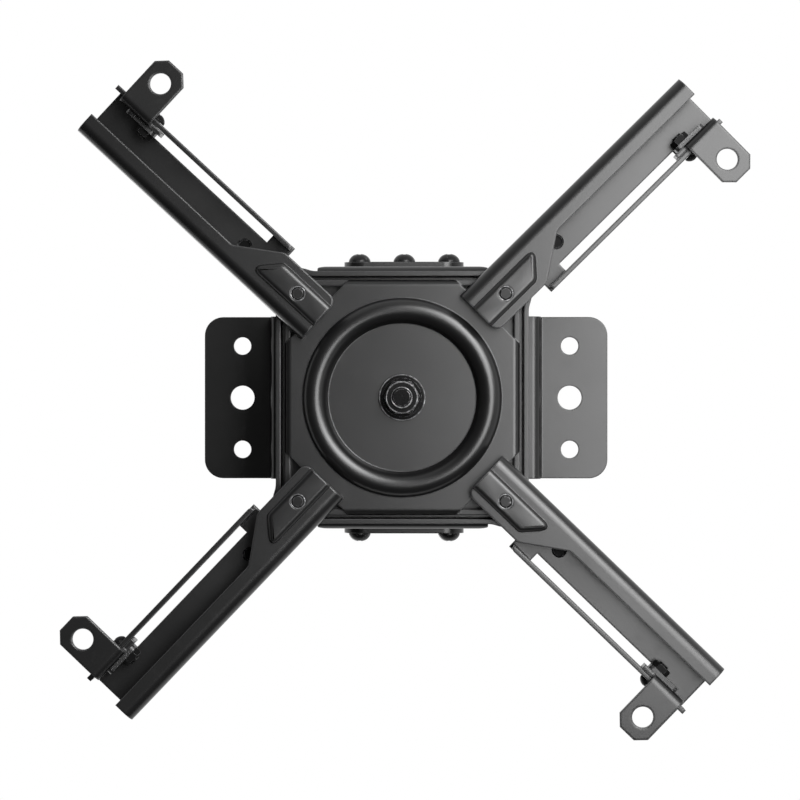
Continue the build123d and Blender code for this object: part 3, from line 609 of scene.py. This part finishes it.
middle = Vector(((BOLT_R + RIDGE_HEIGHT / 2 - RIDGE_ROOT / 2) * MM, 0.0, (THREAD_LOW + PITCH / 2) * MM))
ridge = start(
    bpy.ops.mesh.primitive_plane_add, "swivel_thread", size=MM, rotation=(math.pi / 2, 0.0, 0.0), location=middle)
bpy.ops.transform.resize(value=(RIDGE_HEIGHT + RIDGE_ROOT, 1.0, RIDGE_FOOT * PITCH), center_override=middle)
pick("VERT", lambda at: at.x > BOLT_R * MM)
bpy.ops.transform.resize(value=(1.0, 1.0, RIDGE_CREST), center_override=middle)
bpy.ops.mesh.select_all(action="SELECT")
bpy.ops.mesh.delete(type="ONLY_FACE")
bpy.ops.object.mode_set(mode="OBJECT")
turns = ridge.modifiers.new("turns", "SCREW")
turns.axis = "Z"
turns.angle = math.tau
turns.screw_offset = PITCH * MM
turns.iterations = TURNS
turns.steps = turns.render_steps = 36
bpy.ops.object.modifier_apply(modifier=turns.name)
bpy.ops.object.mode_set(mode="EDIT")
bpy.ops.mesh.select_all(action="SELECT")
bpy.ops.mesh.remove_doubles(threshold=DOUBLES)
bpy.ops.mesh.fill_holes(sides=0)
close_and_smooth(40.0)
# the thread's pale rubbed steel is partly a painted highlight on its crests
dress(ridge, rubbed_highlight_steel, "hub")
print("thread turns:", TURNS, "faces:", len(ridge.data.polygons))

# %% [markdown]
# ## The washer's ridge
#
# The washer under the nut is a dished one. Its outer edge is rolled into a ridge, which gives the widest bright
# ring of the set, and a second, lower ridge runs just outside the nut.

# %% Washer ridges
WASHER_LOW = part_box("swivel_washer")[0].z / MM
OUTER_RIDGE, INNER_RIDGE = (8.9, 9.3), (7.62, 7.98)
OUTER_PROUD, OUTER_DEPTH, OUTER_ROUNDING = 0.15, 1.2, 0.18
INNER_PROUD, INNER_DEPTH, INNER_ROUNDING = 0.22, 0.3, 0.16

outer_ridge = ring(
    "washer_outer_ridge", *OUTER_RIDGE, WASHER_LOW - OUTER_PROUD, WASHER_LOW + OUTER_DEPTH, OUTER_ROUNDING)
# the outer ridge's pale rubbed steel is partly a painted highlight for the widest bright ring
dress(outer_ridge, rubbed_highlight_steel, "hub")
inner_ridge = ring(
    "washer_inner_ridge", *INNER_RIDGE, WASHER_LOW - INNER_PROUD, WASHER_LOW + INNER_DEPTH, INNER_ROUNDING)
dress(inner_ridge, dark_steel, "hub")
print("washer ridges at radii", OUTER_RIDGE, INNER_RIDGE, "mm")

# %% [markdown]
# ## Light
#
# A studio lights a black object with large soft boxes, because a black coat shows little but reflections. A flat
# face here mirrors the plane of the camera at twice its own distance from the middle. So the main box, a tall
# one, hangs beside the camera, towards the right ear and the rear: the faces on that side catch it and those on
# the left turn dark. A second box, further out on the same side, gives the rounded shoulders and edges their
# highlights, and a weak one above lights the top. The world is white to the camera and to mirror-like rays, and
# dimmer as a light.

# %% World
WORLD_LEVEL = 0.10

world = bpy.data.worlds.new("studio")
bpy.context.scene.world = world
world.use_nodes = True
sky = Graph(world.node_tree)
seen = sky.node("ShaderNodeLightPath", output="Is Camera Ray")
for kind in ("Is Glossy Ray", "Is Transmission Ray"):
    also = sky.node("ShaderNodeLightPath", output=kind)
    seen = sky.node("ShaderNodeMath", {"operation": "MAXIMUM"}, {0: seen, 1: also})
background = sky.tree.nodes["Background"]
sky.feed(background.inputs["Color"], (1.0, 1.0, 1.0, 1.0))
sky.feed(background.inputs["Strength"], WORLD_LEVEL + (1.0 - WORLD_LEVEL) * seen)
print("world nodes:", len(sky.tree.nodes))


# %% Soft boxes
def soft_box(name, place, width, height, power):
    """A rectangular lamp that faces the hub. Its width runs mostly along X and its height along Y."""
    lamp = bpy.data.lights.new(name, "AREA")
    lamp.shape = "RECTANGLE"
    lamp.size = width
    lamp.size_y = height
    lamp.energy = power
    holder = bpy.data.objects.new(name, lamp)
    bpy.context.scene.collection.objects.link(holder)
    holder.location = place
    holder.visible_camera = False
    holder.rotation_mode = "QUATERNION"
    back_way = (place - HUB_MIDDLE).normalized()
    side = Vector((0.0, 1.0, 0.0)).cross(back_way).normalized()
    holder.rotation_quaternion = Matrix((side, back_way.cross(side), back_way)).transposed().to_quaternion()
    print(name, "power over area:", round(power / (width * height), 1))


soft_box("key", Vector((0.206, -0.132, -0.674)), 0.326, 0.649, 5.6)
soft_box("right_side", Vector((0.60, -0.55, -0.95)), 0.6, 0.8, 12.0)
soft_box("top_fill", Vector((-0.8, 0.9, 1.6)), 1.2, 1.2, 8.0)

# %% [markdown]
# ## Flags and floor
#
# The edges that face left or down in the picture stay black, because dark flags stood on those two sides. A flag
# is a dark panel that gives a shiny thing something dark to mirror. The camera doesn't see them here. They end
# below the mount, so that its walls still mirror some of the pale room when they are seen from the side. The floor
# is far below, plain and pale. The lamps point up and leave it dim, so its paint shows pale to the camera. What
# the coat mirrors is dark straight below the mount, as in the photographer's dark studio, and pale further out.

# %% Flags
FLAG_SIZE = 2.2
FLAG_GREY = 0.015
FLAG_AWAY, FLAG_Z = 0.95, -1.24


def flag(name, place, turn):
    bpy.ops.object.select_all(action="DESELECT")
    bpy.ops.mesh.primitive_plane_add(size=FLAG_SIZE, location=place, rotation=(math.pi / 2, 0.0, math.radians(turn)))
    panel = bpy.context.object
    panel.name = name
    bpy.ops.object.transform_apply(location=True, rotation=True, scale=True)
    panel.visible_camera = False
    cloth = Finish(name + "_cloth", Roughness=1.0)
    cloth.set("Base Color", grey(FLAG_GREY))
    panel.data.materials.append(cloth.material)


flag("left_flag", (-FLAG_AWAY, 0.1, FLAG_Z), 90.0)
flag("lower_flag", (-0.1, FLAG_AWAY, FLAG_Z), 0.0)
print("flags end at z =", round(FLAG_Z + FLAG_SIZE / 2, 2), "m")

# %% Floor
FLOOR_Z = -2.6
FLOOR_PALE = 0.75
FLOOR_SIZE = 60.0
MIRRORED_NEAR, MIRRORED_FAR = 0.06, 0.60
DARK_WITHIN, PALE_BEYOND = 2.2, 4.5

bpy.ops.object.select_all(action="DESELECT")
bpy.ops.mesh.primitive_plane_add(size=FLOOR_SIZE, location=(0.0, 0.0, FLOOR_Z))
floor = bpy.context.object
floor.name = "floor"
paint = Finish("floor_paint", Roughness=0.9)
paint.set("Base Color", (0.88, 0.88, 0.88, 1.0))
paint.set("Emission Strength", 1.0)
to_camera = paint.node("ShaderNodeLightPath", output="Is Camera Ray")
to_mirror = paint.node("ShaderNodeLightPath", output="Is Glossy Ray")
through_glass = paint.node("ShaderNodeLightPath", output="Is Transmission Ray")
away = paint.node("ShaderNodeVectorMath", {"operation": "LENGTH"}, {0: paint.place()}, "Value")
mirrored = MIRRORED_NEAR + (MIRRORED_FAR - MIRRORED_NEAR) * paint.ramp(away, DARK_WITHIN, PALE_BEYOND)
paint.set("Emission Color", FLOOR_PALE * (to_camera + through_glass) + mirrored * to_mirror)
floor.data.materials.append(paint.material)
print("floor nodes:", len(paint.tree.nodes))

# %% View transform
bpy.context.scene.view_settings.view_transform = "Standard"
